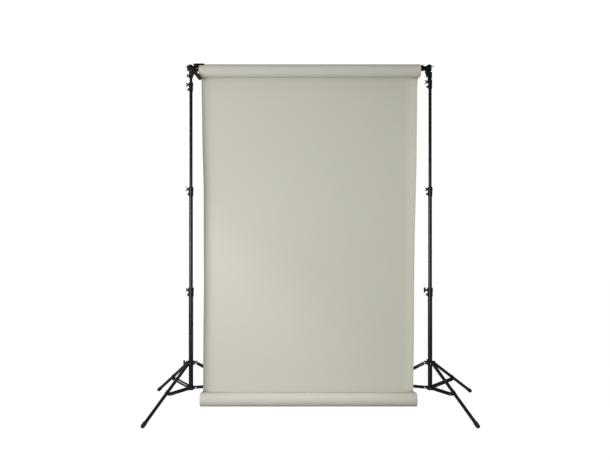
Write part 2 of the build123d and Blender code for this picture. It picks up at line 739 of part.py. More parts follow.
def roll_brake_collar():
    """Collar on the bar with two ears for the lever's hinge."""
    with BuildPart() as body:
        with BuildSketch(Plane.YZ.offset(BRAKE_X + 22)):
            with Locations((ROLL_Y, BAR_Z)):
                Circle(20)
        extrude(amount=31)
        chamfer(body.edges().filter_by(GeomType.CIRCLE), length=1.5)
        for side in (1, -1):
            with BuildSketch(brake_plane(side * BRAKE_EAR_IN)):
                with Locations((HINGE_X, 30)):
                    Rectangle(9, 13)
                with Locations((HINGE_X, HINGE_OUT)):
                    Circle(3)
                with Locations((HINGE_X, HINGE_OUT)):
                    Circle(HINGE_PIN + FIT_GAP, mode=Mode.SUBTRACT)
            extrude(amount=side * BRAKE_EAR_T)
        with BuildSketch(Plane.YZ.offset(BRAKE_X)):
            with Locations((ROLL_Y, BAR_Z)):
                Circle(BAR_R + FIT_GAP)
        extrude(amount=80, mode=Mode.SUBTRACT)
    return body.part


def roll_brake_pin():
    with BuildPart() as body:
        with BuildSketch(brake_plane()):
            with Locations((HINGE_X, HINGE_OUT)):
                Circle(HINGE_PIN)
        extrude(amount=BRAKE_EAR_IN + BRAKE_EAR_T + 0.4, both=True)
    return body.part


def roll_brake_lever():
    """Flat bar that reaches over the roll's end, on a drilled tongue between the ears."""
    with BuildPart() as body:
        with BuildSketch(brake_plane()) as bar:
            with Locations((55.25, 43.4)):
                Rectangle(65.5, 6)
            fillet(bar.vertices(), 1.2)
        extrude(amount=6, both=True)
        with BuildSketch(brake_plane()):
            with Locations((HINGE_X, 38)):
                Rectangle(7, 7)
            with Locations((HINGE_X, HINGE_OUT)):
                Circle(HINGE_PIN + RUN_GAP, mode=Mode.SUBTRACT)
        extrude(amount=BRAKE_EAR_IN - 0.3, both=True)
    return body.part


def stop_collar():
    """Plain collar on the bar beyond the right end of the roll, drilled from above."""
    width = 18
    with BuildPart() as body:
        with BuildSketch(Plane.YZ.offset(STOP_X - width / 2)):
            with Locations((ROLL_Y, BAR_Z)):
                Circle(16.5)
        extrude(amount=width)
        chamfer(body.edges().filter_by(GeomType.CIRCLE), length=1)
        with BuildSketch(Plane.YZ.offset(STOP_X - 20)):
            with Locations((ROLL_Y, BAR_Z)):
                Circle(BAR_R + FIT_GAP)
        extrude(amount=40, mode=Mode.SUBTRACT)
        with BuildSketch(Plane.XY.offset(BAR_Z + 5)):
            with Locations((STOP_X, ROLL_Y)):
                Circle(STOP_SCREW_R + RUN_GAP)
        extrude(amount=20, mode=Mode.SUBTRACT)
    return body.part


def stop_thumbscrew():
    """Screw with a head grooved all round."""
    head_r = 6
    with BuildPart() as body:
        with BuildSketch(Plane.XY.offset(BAR_Z + BAR_R + 0.1)):
            with Locations((STOP_X, ROLL_Y)):
                Circle(STOP_SCREW_R)
        extrude(amount=5)
        with BuildSketch(Plane.XY.offset(BAR_Z + 16.9)):
            with Locations((STOP_X, ROLL_Y)):
                Circle(head_r)
                with PolarLocations(head_r, 10):
                    Circle(0.9, mode=Mode.SUBTRACT)
        extrude(amount=4)
    return body.part


for piece in (
    crossbar_left, crossbar_right, crossbar_snap_button, crossbar_end_caps,
    roll_brake_collar, roll_brake_pin, roll_brake_lever, stop_collar, stop_thumbscrew,
):
    save(piece(), piece.__name__)

# ---------------------------------------------------------------- paper
SHEET_T = 0.4             # hanging sheet
LOW_R = 43.5              # lower roll, outside radius
LOW_X0, LOW_X1 = -676.0, 658.0
LOW_Z = 58.5              # lower roll axis height: it hangs just clear of the floor
LOW_Y = ROLL_Y + ROLL_R - LOW_R   # the backs of both rolls are in line


def roll_tube(x0, x1, y, z, radius, bore):
    """Tube along X."""
    with BuildPart() as body:
        with BuildSketch(Plane.YZ.offset(x0)):
            with Locations((y, z)):
                Circle(radius)
                Circle(bore, mode=Mode.SUBTRACT)
        extrude(amount=x1 - x0)
    return body.part


def paper_sheet():
    """Sheet from the back of the upper roll to the back of the lower one."""
    front_y = ROLL_Y + ROLL_R + 0.02
    with BuildPart() as body:
        with BuildSketch(Plane.XY.offset(LOW_Z)):
            with Locations((0, front_y + SHEET_T / 2)):
                Rectangle(2 * PAPER_HALF, SHEET_T)
        extrude(amount=ROLL_Z - LOW_Z)
    return body.part


# name, x of both ends, axis y and z, outside radius, bore
for name, *size in (
    ("roll_core", -PAPER_HALF - 2, PAPER_HALF + 2, ROLL_Y, ROLL_Z, CORE_OUT, CORE_IN),
    ("paper_roll", -PAPER_HALF, PAPER_HALF, ROLL_Y, ROLL_Z, ROLL_R, CORE_OUT + FIT_GAP),
    ("bottom_roll", LOW_X0, LOW_X1, LOW_Y, LOW_Z, LOW_R, CORE_OUT + FIT_GAP),
    ("bottom_core", LOW_X0 + 1, LOW_X1 - 1, LOW_Y, LOW_Z, CORE_OUT, CORE_IN),
):
    save(roll_tube(*size), name)
save(paper_sheet(), "paper_sheet")
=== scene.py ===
"""A backdrop stand: two three-legged columns carry a crossbar with a roll of paper, and the
sheet hangs down to a lower roll.

Metres, +Z up, floor at z = 0. The crossbar and rolls lie along X, left is -X and front is -Y.
"""
import json
import math

import bmesh
import bpy
import numpy as np
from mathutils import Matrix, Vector


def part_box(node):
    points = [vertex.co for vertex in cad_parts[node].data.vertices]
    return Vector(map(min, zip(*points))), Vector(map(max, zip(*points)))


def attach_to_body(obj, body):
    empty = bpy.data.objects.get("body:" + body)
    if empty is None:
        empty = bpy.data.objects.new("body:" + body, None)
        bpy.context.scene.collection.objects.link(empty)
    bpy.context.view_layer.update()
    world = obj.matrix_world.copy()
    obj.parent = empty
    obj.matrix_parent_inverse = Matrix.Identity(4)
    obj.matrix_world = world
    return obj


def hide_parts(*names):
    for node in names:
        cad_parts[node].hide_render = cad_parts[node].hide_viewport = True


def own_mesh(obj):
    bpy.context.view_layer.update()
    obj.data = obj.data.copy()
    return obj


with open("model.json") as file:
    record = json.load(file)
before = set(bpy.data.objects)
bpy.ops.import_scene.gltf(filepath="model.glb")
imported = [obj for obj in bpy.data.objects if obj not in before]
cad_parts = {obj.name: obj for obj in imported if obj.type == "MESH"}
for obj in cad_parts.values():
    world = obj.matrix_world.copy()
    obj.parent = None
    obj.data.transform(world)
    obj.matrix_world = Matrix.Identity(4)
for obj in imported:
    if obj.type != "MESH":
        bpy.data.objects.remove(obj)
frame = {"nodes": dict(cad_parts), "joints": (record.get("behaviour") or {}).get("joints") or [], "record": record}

MM = 0.001
SIDES = ("left", "right")
SCENE = bpy.context.scene
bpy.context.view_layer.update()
RECORD = frame["record"]
NODES = frame["nodes"]
BODY_OF = {node: body for body, nodes in RECORD["behaviour"]["bodies"].items() for node in nodes}
JOINTS = {joint["name"]: joint for joint in frame["joints"]}
MOUNTS = {mount["name"]: mount for mount in RECORD["mounts"]}


def middle(node):
    low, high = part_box(node)
    return (low + high) / 2


COLUMNS = {side: middle(f"{side}_base_tube") for side in SIDES}

# ------------------------------------------------------------------ legs
FOOT_HEIGHT = 11.2 * MM  # lower end of a leg's axis


def measure_leg(name):
    """Hinge centres and directions of one leg: along runs down it, across is its hinge axis."""
    hinge = JOINTS[f"{name}_leg_hinge"]
    pin = Vector(hinge["pos_m"])
    foot = Vector(MOUNTS[f"{name}_foot"]["pos_m"])
    foot.z = FOOT_HEIGHT
    return dict(
        pin=pin,
        hub=Vector(JOINTS[f"{name}_brace_hinge"]["pos_m"]),
        along=(foot - pin).normalized(),
        across=Vector(hinge["axis"]).normalized(),
        length=(foot - pin).length,
    )


LEGS = {
    f"{side}_{place}": measure_leg(f"{side}_{place}")
    for side in SIDES
    for place in ("front", "inner", "rear")
}


def legs_of(side):
    return [leg for name, leg in LEGS.items() if name.startswith(side)]


# Riveted parts of each column: node ending, short name, hinge they hold, then in metres
# the sideways distance where steel starts, that of the rivet heads' seats, and head radius
RIVETED = (
    ("leg_spider", "spider", "pin", 14.1 * MM, 16.15 * MM, 5.2 * MM),
    ("base_hub", "hub", "hub", 14.45 * MM, 16.55 * MM, 4.7 * MM),
)


# ------------------------------------------------------------------ materials
class Graph:
    """A material and short calls for adding nodes to it. All textures use object coordinates."""

    def __init__(self, name):
        self.mat = bpy.data.materials.new(name)
        self.mat.use_nodes = True
        self.nodes = self.mat.node_tree.nodes
        self.links = self.mat.node_tree.links
        self.nodes.clear()
        output = self.nodes.new("ShaderNodeOutputMaterial")
        self.bsdf = self.nodes.new("ShaderNodeBsdfPrincipled")
        self.links.new(self.bsdf.outputs[0], output.inputs[0])
        self.coords = self.nodes.new("ShaderNodeTexCoord").outputs["Object"]

    def put(self, value, socket):
        """Links a socket, or sets a number or an RGB colour."""
        if isinstance(value, bpy.types.NodeSocket):
            self.links.new(value, socket)
        elif isinstance(value, tuple):
            socket.default_value = (*value, 1.0)
        else:
            socket.default_value = value

    def vector(self, stretch):
        """Object coordinates, multiplied per axis by stretch unless it is None."""
        if stretch is None:
            return self.coords
        node = self.nodes.new("ShaderNodeMapping")
        self.links.new(self.coords, node.inputs["Vector"])
        node.inputs["Scale"].default_value = stretch
        return node.outputs[0]

    def texture(self, kind, stretch=None, **inputs):
        vector = self.vector(stretch)
        node = self.nodes.new(kind)
        self.links.new(vector, node.inputs["Vector"])
        for key, value in inputs.items():
            node.inputs[key].default_value = value
        return node

    def noise(self, scale, detail=2.0, roughness=0.5, stretch=None, distortion=0.0):
        return self.texture(
            "ShaderNodeTexNoise", stretch,
            Scale=scale, Detail=detail, Roughness=roughness, Distortion=distortion,
        ).outputs["Fac"]

    def cells(self, scale):
        return self.texture("ShaderNodeTexVoronoi", Scale=scale).outputs["Distance"]

    def wave(self, scale, distortion, stretch):
        """Bands that follow one another along Z."""
        node = self.texture("ShaderNodeTexWave", stretch, Scale=scale, Distortion=distortion)
        node.bands_direction = "Z"
        return node.outputs["Fac"]

    def calc(self, operation, first, second=0.0, clamp=False):
        node = self.nodes.new("ShaderNodeMath")
        node.operation = operation
        node.use_clamp = clamp
        self.put(first, node.inputs[0])
        self.put(second, node.inputs[1])
        return node.outputs[0]

    def remap(self, value, span=(0.3, 0.7), to=(0.0, 1.0)):
        """Maps span to the range given by to, and clamps."""
        node = self.nodes.new("ShaderNodeMapRange")
        node.clamp = True
        self.links.new(value, node.inputs["Value"])
        for key, number in zip(("From Min", "From Max", "To Min", "To Max"), (*span, *to)):
            node.inputs[key].default_value = number
        return node.outputs[0]

    def mix(self, factor, first, second):
        node = self.nodes.new("ShaderNodeMix")
        node.data_type = "RGBA"
        self.put(factor, node.inputs[0])
        self.put(first, node.inputs[6])
        self.put(second, node.inputs[7])
        return node.outputs[2]

    def edge(self, span):
        """Mask of the convex edges."""
        node = self.nodes.new("ShaderNodeNewGeometry")
        return self.remap(node.outputs["Pointiness"], span=span)

    def xyz(self):
        node = self.nodes.new("ShaderNodeSeparateXYZ")
        self.links.new(self.coords, node.inputs[0])
        return node.outputs[0:3]

    def turn(self, first, second, centre):
        """Angle round centre in the plane of two coordinates."""
        rise = self.calc("SUBTRACT", second, centre[1])
        return self.calc("ARCTAN2", rise, self.calc("SUBTRACT", first, centre[0]))

    def bump(self, height, distance, strength, below=None):
        node = self.nodes.new("ShaderNodeBump")
        node.inputs["Strength"].default_value = strength
        node.inputs["Distance"].default_value = distance
        self.links.new(height, node.inputs["Height"])
        if below is not None:
            self.links.new(below, node.inputs["Normal"])
        return node.outputs[0]

    def finish(self, color, roughness, normal, metallic=0.0, specular=0.5, **more):
        inputs = {
            "Base Color": color, "Roughness": roughness, "Normal": normal,
            "Metallic": metallic, "Specular IOR Level": specular,
        }
        inputs.update({key.replace("_", " "): value for key, value in more.items()})
        for key, value in inputs.items():
            self.put(value, self.bsdf.inputs[key])
        return self.mat


PAPER = (0.535, 0.523, 0.455)


def shade(color, factor):
    return tuple(channel * factor for channel in color)


def make_paper(name, cut_ends=False):
    """Matte paper: fine tooth, faint fibres, slow tone changes and soft bands from winding."""
    graph = Graph(name)
    cloud = graph.noise(scale=1.7, detail=3.0, roughness=0.55)
    fibre = graph.noise(
        scale=420.0, detail=4.0, roughness=0.65, stretch=(1.0, 1.0, 0.35), distortion=0.6
    )
    tooth = graph.noise(scale=1900.0, roughness=0.6)
    speck = graph.cells(scale=310.0)
    tone = graph.mix(graph.remap(cloud), shade(PAPER, 0.985), shade(PAPER, 1.012))
    fibre_mask = graph.remap(fibre, span=(0.35, 0.75), to=(0.0, 0.22))
    tone = graph.mix(fibre_mask, tone, shade(PAPER, 0.93))
    speck_mask = graph.remap(speck, span=(0.0, 0.06), to=(0.10, 0.0))
    tone = graph.mix(speck_mask, tone, shade(PAPER, 0.8))
    if cut_ends:
        tone = graph.mix(0.25, tone, shade(PAPER, 1.12))
    bands = graph.wave(scale=0.62, distortion=2.4, stretch=(0.06, 1.0, 1.0))
    normal = graph.bump(bands, distance=0.0011, strength=0.35)
    normal = graph.bump(fibre, distance=0.00006, strength=0.6, below=normal)
    normal = graph.bump(tooth, distance=0.00004, strength=0.6, below=normal)
    rough = graph.remap(tooth, to=(0.78, 0.92))
    return graph.finish(
        tone, rough, normal, specular=0.22, Sheen_Weight=0.05, Sheen_Roughness=0.6
    )


def make_coat(name, base, roughness):
    """Powder coat on steel: orange peel, uneven polish, dust and rubbed edges."""
    graph = Graph(name)
    peel = graph.noise(scale=1500.0)
    patch = graph.noise(scale=55.0, detail=3.0, roughness=0.6)
    dust = graph.noise(scale=260.0, detail=5.0, roughness=0.7)
    scuff = graph.noise(
        scale=38.0, detail=4.0, roughness=0.7, stretch=(1.0, 1.0, 0.12), distortion=0.8
    )
    tone = graph.mix(graph.remap(patch), shade(base, 0.88), shade(base, 1.12))
    dust_mask = graph.remap(dust, span=(0.6, 0.82), to=(0.0, 0.05))
    tone = graph.mix(dust_mask, tone, (0.04, 0.039, 0.037))
    edge = graph.edge(span=(0.57, 0.72))
    wear = graph.calc("MULTIPLY", edge, graph.remap(patch, span=(0.4, 0.65), to=(0.1, 0.6)))
    tone = graph.mix(wear, tone, (0.05, 0.05, 0.052))
    rough = graph.remap(patch, span=(0.25, 0.75), to=(roughness - 0.03, roughness + 0.05))
    scuffing = graph.remap(scuff, span=(0.6, 0.8), to=(0.0, 0.06))
    rough = graph.calc("ADD", rough, scuffing, clamp=True)
    normal = graph.bump(peel, distance=0.00004, strength=0.4)
    normal = graph.bump(scuff, distance=0.00005, strength=0.3, below=normal)
    return graph.finish(
        tone, rough, normal, specular=0.30, Coat_Weight=0.05, Coat_Roughness=0.2
    )


def make_nylon(name, base, roughness):
    """Moulded nylon: fine grain, flow marks and paler rubbed edges."""
    graph = Graph(name)
    grain = graph.noise(scale=2600.0, detail=3.0, roughness=0.6)
    flow = graph.noise(
        scale=90.0, detail=3.0, roughness=0.6, stretch=(1.0, 1.0, 0.4), distortion=1.0
    )
    tone = graph.mix(graph.remap(flow), shade(base, 0.82), shade(base, 1.3))
    wear = graph.calc("MULTIPLY", graph.edge(span=(0.56, 0.72)), 0.3)
    tone = graph.mix(wear, tone, (0.08, 0.08, 0.08))
    rough = graph.remap(flow, span=(0.25, 0.75), to=(roughness - 0.07, roughness + 0.1))
    normal = graph.bump(grain, distance=0.0001, strength=0.65)
    return graph.finish(tone, rough, normal, specular=0.35)


def make_cast(name, base, roughness):
    """Painted die cast alloy: soft lumpy skin under the paint, chips at the corners."""
    graph = Graph(name)
    skin = graph.noise(scale=240.0, detail=4.0, roughness=0.55)
    fine = graph.noise(scale=1700.0)
    chip = graph.cells(scale=260.0)
    tone = graph.mix(graph.remap(skin), shade(base, 0.8), shade(base, 1.35))
    edge = graph.edge(span=(0.57, 0.72))
    wear = graph.calc("MULTIPLY", edge, graph.remap(chip, span=(0.15, 0.5), to=(0.7, 0.0)))
    tone = graph.mix(wear, tone, (0.16, 0.16, 0.165))
    normal = graph.bump(skin, distance=0.00025, strength=0.5)
    normal = graph.bump(fine, distance=0.00008, strength=0.4, below=normal)
    rough = graph.remap(skin, to=(roughness - 0.06, roughness + 0.12))
    return graph.finish(tone, rough, normal, specular=0.38)


def make_steel(name, base, roughness):
    """Bright steel: drawn streaks along Z and a dull bloom in patches."""
    graph = Graph(name)
    streak = graph.noise(scale=900.0, detail=3.0, roughness=0.6, stretch=(1.0, 1.0, 0.08))
    bloom = graph.noise(scale=160.0, detail=3.0, roughness=0.6)
    tone = graph.mix(graph.remap(bloom, span=(0.35, 0.7)), base, shade(base, 0.72))
    rough = graph.remap(streak, to=(roughness - 0.08, roughness + 0.16))
    normal = graph.bump(streak, distance=0.00005, strength=0.4)
    return graph.finish(tone, rough, normal, metallic=1.0)


def make_screw(name, axis):
    """Steel screw along Y through axis, a point, with a thread drawn as a helix and painted shade in its roots."""
    thread_pitch = 0.00125
    graph = Graph(name)
    x, y, z = graph.xyz()
    turn = graph.turn(x, z, (axis.x, axis.z))
    phase = graph.calc("ADD", graph.calc("MULTIPLY", y, 2 * math.pi / thread_pitch), turn)
    thread = graph.calc("SINE", phase)
    bloom = graph.noise(scale=160.0, detail=3.0, roughness=0.6)
    # painted shade: the thread's roots are coloured darker than its crests
    crest = graph.remap(thread, span=(-1.0, 1.0))
    tone = graph.mix(crest, (0.2, 0.2, 0.205), (0.52, 0.52, 0.53))
    normal = graph.bump(thread, distance=0.0003, strength=0.8)
    return graph.finish(tone, graph.remap(bloom, to=(0.28, 0.45)), normal, metallic=1.0)


def make_rubber(name, base):
    """Dull rubber: pebbled skin with pale dust in patches."""
    graph = Graph(name)
    pebble = graph.cells(scale=900.0)
    cloud = graph.noise(scale=70.0, detail=4.0, roughness=0.65)
    fine = graph.noise(scale=2400.0, roughness=0.6)
    dust = graph.remap(cloud, span=(0.45, 0.75), to=(0.0, 0.25))
    tone = graph.mix(dust, base, (0.05, 0.048, 0.045))
    normal = graph.bump(pebble, distance=0.00018, strength=0.5)
    normal = graph.bump(fine, distance=0.00006, strength=0.5, below=normal)
    return graph.finish(tone, graph.remap(cloud, to=(0.62, 0.86)), normal, specular=0.4)


def make_board(name, axis):
    """Spiral-wound board tube along X through axis, a point, with its seam as a helix."""
    seam_pitch = 0.11
    graph = Graph(name)
    x, y, z = graph.xyz()
    turn = graph.turn(y, z, (axis.y, axis.z))
    lap = graph.calc("DIVIDE", x, seam_pitch)
    lap = graph.calc("ADD", lap, graph.calc("DIVIDE", turn, 2 * math.pi))
    lap = graph.calc("FRACT", lap)
    from_seam = graph.calc("ABSOLUTE", graph.calc("SUBTRACT", lap, 0.5))
    seam = graph.remap(from_seam, span=(0.0, 0.012), to=(1.0, 0.0))
    fibre = graph.noise(
        scale=500.0, detail=5.0, roughness=0.7, stretch=(0.25, 1.0, 1.0), distortion=1.2
    )
    cloud = graph.noise(scale=22.0, detail=3.0, roughness=0.6)
    tone = graph.mix(graph.remap(fibre), (0.30, 0.205, 0.12), (0.48, 0.345, 0.215))
    tone = graph.mix(graph.remap(cloud, to=(0.0, 0.3)), tone, (0.36, 0.27, 0.18))
    tone = graph.mix(graph.calc("MULTIPLY", seam, 0.75), tone, (0.14, 0.09, 0.05))
    normal = graph.bump(seam, distance=-0.0004, strength=0.8)
    normal = graph.bump(fibre, distance=0.00018, strength=0.6, below=normal)
    return graph.finish(tone, graph.remap(fibre, to=(0.75, 0.95)), normal, specular=0.2)


M_PAPER = make_paper("wound_and_hung_paper")
M_PAPER_END = make_paper("paper_cut_ends", cut_ends=True)
M_TUBE = make_coat("powder_coat_tube", base=(0.0026, 0.0025, 0.0024), roughness=0.25)
M_BRACE = make_coat("powder_coat_strap", base=(0.0028, 0.0027, 0.0026), roughness=0.30)
M_BAR = make_coat("powder_coat_bar", base=(0.0028, 0.0027, 0.0026), roughness=0.28)
M_NYLON = make_nylon("moulded_collar", base=(0.0050, 0.0049, 0.0049), roughness=0.40)
M_PLUG = make_nylon("moulded_plug", base=(0.011, 0.0108, 0.0108), roughness=0.5)
M_KNOB = make_nylon("moulded_knob", base=(0.0038, 0.0037, 0.0037), roughness=0.32)
M_CAP = make_nylon("moulded_cap", base=(0.0045, 0.0044, 0.0044), roughness=0.4)
M_CAST = make_cast("painted_casting", base=(0.0046, 0.0045, 0.0045), roughness=0.32)
M_STEEL = make_steel("zinc_plate", base=(0.5, 0.5, 0.51), roughness=0.3)
M_RIVET = make_steel("rivet_steel", base=(0.62, 0.62, 0.63), roughness=0.26)
M_RUBBER = make_rubber("foot_rubber", base=(0.008, 0.008, 0.0083))

SLOT_MATERIAL = {
    "stand_tube": M_TUBE,
    "stand_brace": M_BRACE,
    "collar_plastic": M_NYLON,
    "knob_plastic": M_KNOB,
    "clamp_metal": M_CAST,
    "crossbar_metal": M_BAR,
    "cap_plastic": M_CAP,
    "steel": M_STEEL,
    "paper": M_PAPER,
}


# ------------------------------------------------------------------ materials on the CAD pieces
def give(node, materials, pick=lambda point: 0):
    """Puts materials on a node. pick turns a face centre into a material index."""
    mesh = NODES[node].data
    mesh.materials.clear()
    for material in materials:
        mesh.materials.append(material)
    mesh.polygons.foreach_set("material_index", [int(pick(p.center)) for p in mesh.polygons])
    mesh.update()


# Leg regions: distances from the foot end or the hinge pin, and radii from the leg's axis
BOOT_LENGTH = 27.5 * MM
BOOT_RADIUS = 10.03 * MM  # faces further out than this belong to the boot
BOOT_SOLE = 7.5 * MM
PLUG_END = 11.5 * MM
PLUG_DEPTH = 43 * MM
PLUG_RADIUS = 8.6 * MM
RIVET_REACH = 5.6 * MM  # from a hinge axis
SCREW_OVERLAP = 0.8 * MM  # how far the thread shows in front of the clamp body
# how far to the left of the column's axis each knob's steel shank starts
KNOB_SHANK = {"lower": 21.0, "middle": 19.0, "upper": 17.0, "clamp_stud": 16.7}  # mm
SPIDER_SHANK = 25.2 * MM
BOLT_HEAD = (3.9 * MM, 18 * MM)  # X and Z size of the steel corner of a collar
STUD_BOTTOM = 2055.7 * MM
CAP_STEEL = (9.8 * MM, 14.8 * MM)  # length of the steel at the left and right ends


def leg_region(leg, point):
    """0 for tube, 1 for rubber boot, 2 for plug."""
    offset = point - leg["pin"]
    along = offset.dot(leg["along"])
    radius = (offset - along * leg["along"]).length
    if along > leg["length"] - BOOT_LENGTH and (
        radius > BOOT_RADIUS or along > leg["length"] - BOOT_SOLE
    ):
        return 1
    if along < PLUG_END or (radius < PLUG_RADIUS and along < PLUG_DEPTH):
        return 2
    return 0


def on_rivet(legs, hinge, inner, point):
    """True near a hinge axis and further out sideways than inner."""
    for leg in legs:
        offset = point - leg[hinge]
        sideways = offset.dot(leg["across"])
        off_axis = (offset - sideways * leg["across"]).length
        if off_axis < RIVET_REACH and abs(sideways) > inner:
            return True
    return False


def dress_column(side):
    """The parts of one column that take more than one material."""
    for part, _, hinge, inner, _, _ in RIVETED:
        give(f"{side}_{part}", [M_NYLON, M_RIVET],
             lambda point: on_rivet(legs_of(side), hinge, inner, point))

    screw = make_screw(f"{side}_clamp_thread", middle(f"{side}_clamp_jaw"))
    body_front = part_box(f"{side}_clamp_body")[0].y
    give(f"{side}_clamp_lever", [M_CAST, screw],
         lambda point: point.y > body_front - SCREW_OVERLAP)

    for knob, reach in KNOB_SHANK.items():
        shank_x = COLUMNS[side].x - reach * MM
        give(f"{side}_{knob}_knob", [M_KNOB, M_STEEL], lambda point: point.x > shank_x)
    joint = JOINTS[f"{side}_spider_knob_turn"]
    axis, origin = Vector(joint["axis"]), Vector(joint["pos_m"])
    give(f"{side}_spider_knob", [M_KNOB, M_STEEL],
         lambda point: (point - origin).dot(axis) < SPIDER_SHANK)

    for level in ("lower", "middle", "upper"):
        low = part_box(f"{side}_{level}_collar")[0]
        give(f"{side}_{level}_collar", [M_NYLON, M_STEEL],
             lambda point: point.x < low.x + BOLT_HEAD[0] and point.z < low.z + BOLT_HEAD[1])
    give(f"{side}_top_riser", [M_TUBE, M_STEEL], lambda point: point.z > STUD_BOTTOM)


for name, leg in LEGS.items():
    give(f"{name}_leg", [M_TUBE, M_RUBBER, M_PLUG], lambda point: leg_region(leg, point))
for side in SIDES:
    dress_column(side)

caps_low, caps_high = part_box("crossbar_end_caps")
give("crossbar_end_caps", [M_CAP, M_STEEL],
     lambda point: point.x < caps_low.x + CAP_STEEL[0] or point.x > caps_high.x - CAP_STEEL[1])

# everything else takes the one material of its slot
several = {node for node, obj in NODES.items() if len(obj.data.materials) > 1}
for part in RECORD["subparts"]:
    if part["node"] not in several and part["material_slot"] != "core_board":
        give(part["node"], [SLOT_MATERIAL[part["material_slot"]]])
for node in ("roll_core", "bottom_core"):
    give(node, [make_board(f"{node}_board", middle(node))])


# ------------------------------------------------------------------ mesh helpers
def make_object(name, verts, faces, materials, smooth=True, weld=True):
    """Mesh object with consistent normals. Welds doubles, or else drops loose vertices."""
    mesh = bpy.data.meshes.new(name)
    mesh.from_pydata([tuple(v) for v in verts], [], faces)
    mesh.update()
    bm = bmesh.new()
    bm.from_mesh(mesh)
    if weld:
        bmesh.ops.remove_doubles(bm, verts=bm.verts, dist=1e-7)
    else:
        loose = [v for v in bm.verts if not v.link_faces]
        bmesh.ops.delete(bm, geom=loose, context="VERTS")
    bmesh.ops.recalc_face_normals(bm, faces=bm.faces)
    bm.to_mesh(mesh)
    bm.free()
    for material in materials:
        mesh.materials.append(material)
    mesh.polygons.foreach_set("use_smooth", [smooth] * len(mesh.polygons))
    obj = bpy.data.objects.new(name, mesh)
    SCENE.collection.objects.link(obj)
    return obj


def sharpen(obj, degrees):
    """Keeps creases sharp while the rest shades smoothly."""
    bm = bmesh.new()
    bm.from_mesh(obj.data)
    limit = math.radians(degrees)
    for edge in bm.edges:
        if len(edge.link_faces) == 2 and edge.calc_face_angle(0) > limit:
            edge.smooth = False
    bm.to_mesh(obj.data)
    bm.free()


def attach(obj, node, replaces=False):
    """Moves obj with the body of a CAD node, and may put it in the node's place."""
    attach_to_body(obj, BODY_OF[node])
    if replaces:
        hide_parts(node)


def revolve(profile, origin, axis, segments):
    """Surface of revolution. profile holds (distance along axis, radius) in metres, and is
    a closed loop or starts and ends on the axis."""
    axis = axis.normalized()
    first = axis.orthogonal().normalized()
    second = axis.cross(first).normalized()
    verts, faces, rows = [], [], []
    for along, radius in profile:
        if radius < 1e-9:
            rows.append([len(verts)])
            verts.append(origin + axis * along)
        else:
            rows.append(list(range(len(verts), len(verts) + segments)))
            for i in range(segments):
                t = 2 * math.pi * i / segments
                spoke = first * math.cos(t) + second * math.sin(t)
                verts.append(origin + axis * along + spoke * radius)
    closed = len(rows[0]) > 1 and len(rows[-1]) > 1
    for k in range(len(rows) if closed else len(rows) - 1):
        near, far = rows[k], rows[(k + 1) % len(rows)]
        for i in range(segments):
            j = (i + 1) % segments
            if len(near) == 1:
                faces.append((near[0], far[i], far[j]))
            elif len(far) == 1:
                faces.append((near[i], far[0], near[j]))
            else:
                faces.append((near[i], far[i], far[j], near[j]))
    return verts, faces


# ------------------------------------------------------------------ the hanging sheet
sheet_low, sheet_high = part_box("paper_sheet")
SHEET_Y = (sheet_low.y + sheet_high.y) / 2
SHEET_DROP = sheet_high.z - sheet_low.z
SHEET_HALF_THICKNESS = 0.19 * MM
SHEET_FORWARD = 2.6 * MM  # mean offset of the free sheet towards the front
CURL_ZONE = 100.0 * MM  # width of the strip that curls at each side edge
CURL_STEPS = 160  # integration steps across that strip

# how far the side edges turn forward: height in mm, then radians at the left and right edge
CURL = np.array([
    (58.5, 0.0, 0.0), (66, 0.02, 0.02), (73, 0.07, 0.07), (80, 0.16, 0.16), (88, 0.33, 0.33),
    (95, 0.60, 0.60), (101, 0.98, 1.05), (106, 1.22, 1.42), (120, 1.34, 1.56),
    (418, 1.43, 1.52), (730, 1.65, 1.61), (1042, 1.63, 1.61), (1354, 1.65, 1.41),
    (1509, 1.47, 1.27), (1665, 1.25, 1.32), (1821, 1.17, 1.29), (1905, 1.05, 1.33),
    (1943, 1.00, 1.38), (1993, 0.97, 1.30), (2018, 0.95, 1.27), (2034, 0.92, 1.20),
    (2042, 0.85, 1.08), (2047, 0.65, 0.76), (2053, 0.40, 0.42), (2060, 0.18, 0.19),
    (2068, 0.07, 0.07), (2076, 0.02, 0.02), (2086, 0.0, 0.0),
])
CURL_BOTTOM, CURL_TOP = CURL[0, 0], CURL[-1, 0]

# slow buckles: radians per metre of x and of z, phase, height in mm
BUCKLES = ((3.1, 1.9, 0.6, 1.3), (7.3, -0.8, 2.1, 0.6), (1.3, 6.2, 1.1, 0.7))


def curl_angle(heights, column):
    """Turn at the edge, averaged over a window that closes up towards both rolls."""
    height = heights / MM
    reach = np.clip(np.minimum(0.06 * (height - 84), 0.3 * (2062 - height)), 0, 45)
    window = height[:, None] + np.linspace(-1, 1, 9)[None, :] * reach[:, None]
    window = np.clip(window, CURL_BOTTOM, CURL_TOP)
    return np.interp(window, CURL[:, 0], CURL[:, column]).mean(1)


def curled_side(sign, inner, turn):
    """(x, y, angle) from the flat part out to one edge. The angle grows as the square."""
    zone = np.linspace(0, 1, 27) ** 0.85
    fine = np.linspace(0, 1, CURL_STEPS + 1)
    angle = turn * fine ** 2.0

    def travel(rate):
        total = np.cumsum((rate[1:] + rate[:-1]) / 2)
        return np.interp(zone, fine, np.concatenate([[0], total]) * CURL_ZONE / CURL_STEPS)

    x = sign * (inner + travel(np.cos(angle)))
    return list(zip(x, -travel(np.sin(angle)), np.interp(zone, fine, angle) * sign))


